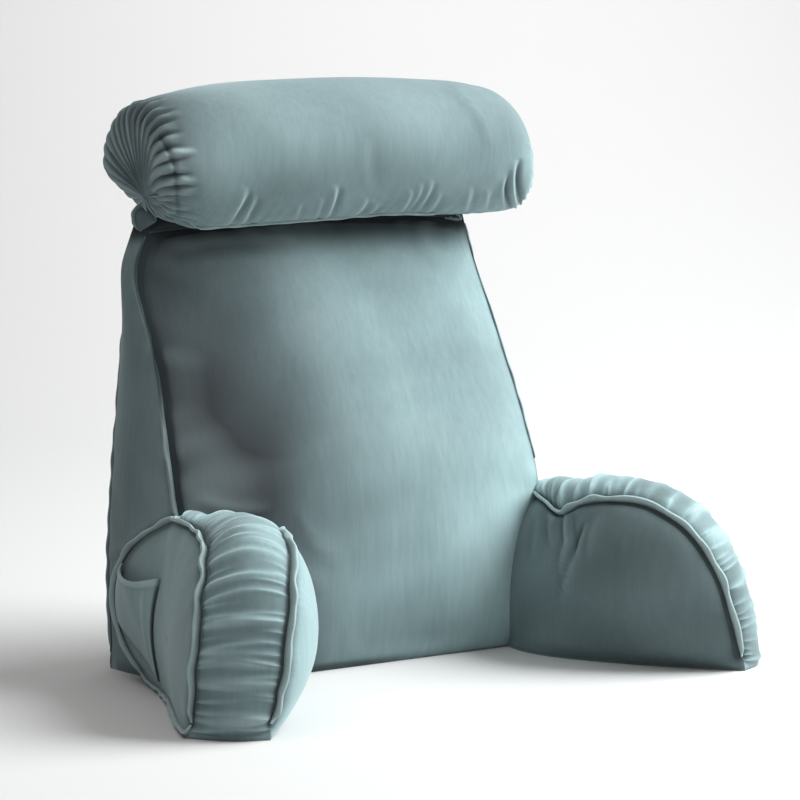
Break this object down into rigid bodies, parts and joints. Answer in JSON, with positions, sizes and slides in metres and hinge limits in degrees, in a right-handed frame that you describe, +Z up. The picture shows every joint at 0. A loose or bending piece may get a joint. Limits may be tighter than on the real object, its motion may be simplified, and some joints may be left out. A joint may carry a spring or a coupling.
{
  "type": "reading pillow",
  "caption": "Reading pillow: a filled wedge backrest with two splayed arms, gathered arm bands, a neck roll on its top edge and a side pocket.",
  "frame": {"origin": "middle of the footprint's box, on the surface that the pillow stands on", "axes": "+Z up, -Y towards the sitter, +X towards the arm that has no pocket"},
  "size_m": [0.74, 0.451, 0.6297],
  "materials": {
    "velvet": "short velvet pile",
    "velvet_lip": "short velvet pile, rubbed lighter along the seam",
    "metal": "satin"
  },
  "bodies": {
    "root": {"backrest": "velvet", "arm_left": "velvet", "arm_right": "velvet", "bolster": "velvet", "pocket": "velvet", "bolster_welt": "velvet_lip", "backrest_left_welt": "velvet_lip", "backrest_right_welt": "velvet_lip", "backrest_back_welt": "velvet_lip", "arm_left_inner_welt": "velvet_lip", "arm_left_outer_welt": "velvet_lip", "arm_right_inner_welt": "velvet_lip", "arm_right_outer_welt": "velvet_lip", "zip_pull": "metal"}
  },
  "joints": []
}
